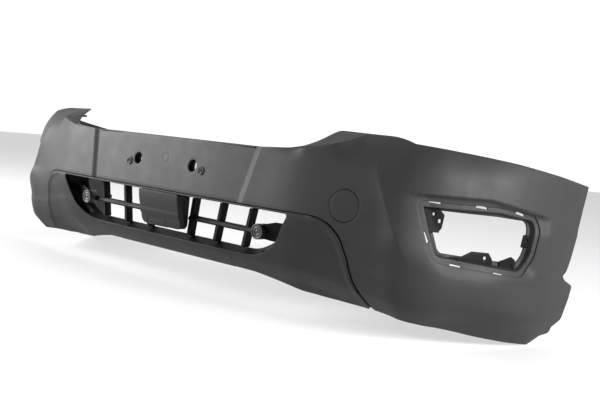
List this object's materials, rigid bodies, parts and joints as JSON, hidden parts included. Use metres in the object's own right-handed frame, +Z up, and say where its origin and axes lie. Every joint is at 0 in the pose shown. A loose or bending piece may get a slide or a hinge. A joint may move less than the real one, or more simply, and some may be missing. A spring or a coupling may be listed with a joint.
{
  "type": "bumper cover",
  "caption": "Front bumper cover with a recessed plate panel, lower intake grille, fog-lamp openings at the corners, a lower valance and a pull-out tow-eye cap.",
  "frame": {"origin": "centre of the top face of the flange that hangs the cover on the vehicle's front panel, on the centre line", "axes": "+Z up as mounted, -Y towards the front of the vehicle, +X towards its left-hand side, across the full width"},
  "size_m": [1.964, 0.5839, 0.4838],
  "materials": {
    "primed_cover": "satin dark grey primer on moulded polypropylene",
    "valance_plastic": "satin dark grey moulded polypropylene",
    "black_plastic": "unpainted black moulded polypropylene",
    "fixing_plastic": "black nylon"
  },
  "bodies": {
    "bumper": {"upper_cover": "primed_cover", "lower_valance": "valance_plastic", "grille_frame": "black_plastic", "grille_slat_1": "black_plastic", "grille_slat_2": "black_plastic", "grille_slat_3": "black_plastic", "grille_slat_4": "black_plastic", "grille_slat_5": "black_plastic", "grille_slat_6": "black_plastic", "grille_blade_left": "black_plastic", "grille_blade_right": "black_plastic", "grille_post_left": "black_plastic", "grille_post_right": "black_plastic", "sensor_cover": "valance_plastic", "sensor_hatch": "fixing_plastic", "plate_anchor_left": "fixing_plastic", "plate_anchor_right": "fixing_plastic", "side_rail_left": "black_plastic", "side_rail_right": "black_plastic", "headlamp_tab_left": "black_plastic", "headlamp_tab_right": "black_plastic", "fog_bracket_upper_left": "black_plastic", "fog_bracket_lower_left": "black_plastic", "fog_bracket_outer_left": "black_plastic", "fog_bracket_upper_right": "black_plastic", "fog_bracket_lower_right": "black_plastic", "fog_bracket_outer_right": "black_plastic"},
    "tow_cap": {"tow_eye_cover": "primed_cover"}
  },
  "joints": [
    {"name": "tow_cap_pull", "type": "slide", "parent": "bumper", "child": "tow_cap", "axis": [0.261, -0.9653, 0], "range_m": [0, 0.06]}
  ]
}
